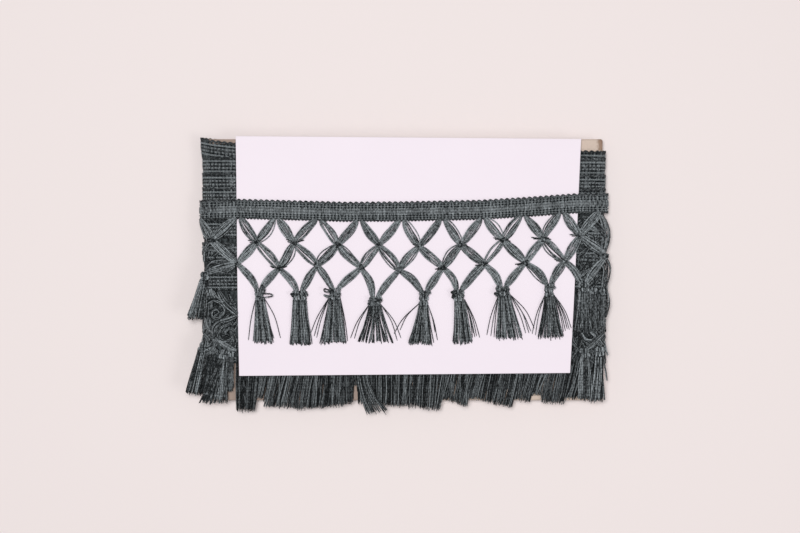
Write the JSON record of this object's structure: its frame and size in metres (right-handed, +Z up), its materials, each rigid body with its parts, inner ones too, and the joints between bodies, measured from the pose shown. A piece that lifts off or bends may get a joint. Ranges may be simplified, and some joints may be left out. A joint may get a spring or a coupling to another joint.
{
  "type": "tassel fringe trim wound on a board",
  "caption": "Knotted tassel fringe trim with a woven heading, wound on a flat board, its last turn laid out over a blank paper sheet.",
  "frame": {"origin": "centre of the bounding box's bottom face, where the bolt lies on its back", "axes": "+X along the heading, +Y towards the board's top edge, +Z up out of the laid-out turn"},
  "size_m": [0.3707, 0.2417, 0.0278],
  "materials": {
    "heading_yarn": "woven viscose yarn with a soft sheen",
    "net_yarn": "loose twisted yarn",
    "tassel_yarn": "cut yarn ends",
    "wound_yarn": "layers of the same trim",
    "board": "plain grey-brown fibreboard",
    "paper": "smooth blank white paper"
  },
  "bodies": {
    "root": {"board": "board", "wound_turns": "wound_yarn", "display_sheet": "paper", "front_heading": "heading_yarn", "front_net": "net_yarn", "tassel_1": "tassel_yarn", "tassel_2": "tassel_yarn", "tassel_3": "tassel_yarn", "tassel_4": "tassel_yarn", "tassel_5": "tassel_yarn", "tassel_6": "tassel_yarn", "tassel_7": "tassel_yarn", "tassel_8": "tassel_yarn", "tassel_9": "tassel_yarn", "edge_tassel_left_high": "tassel_yarn", "edge_tassel_left_low": "tassel_yarn", "edge_tassel_left_foot": "tassel_yarn", "edge_tassel_right_low": "tassel_yarn", "edge_tassel_right_foot": "tassel_yarn", "fringe_front": "tassel_yarn", "fringe_back": "tassel_yarn"}
  },
  "joints": []
}
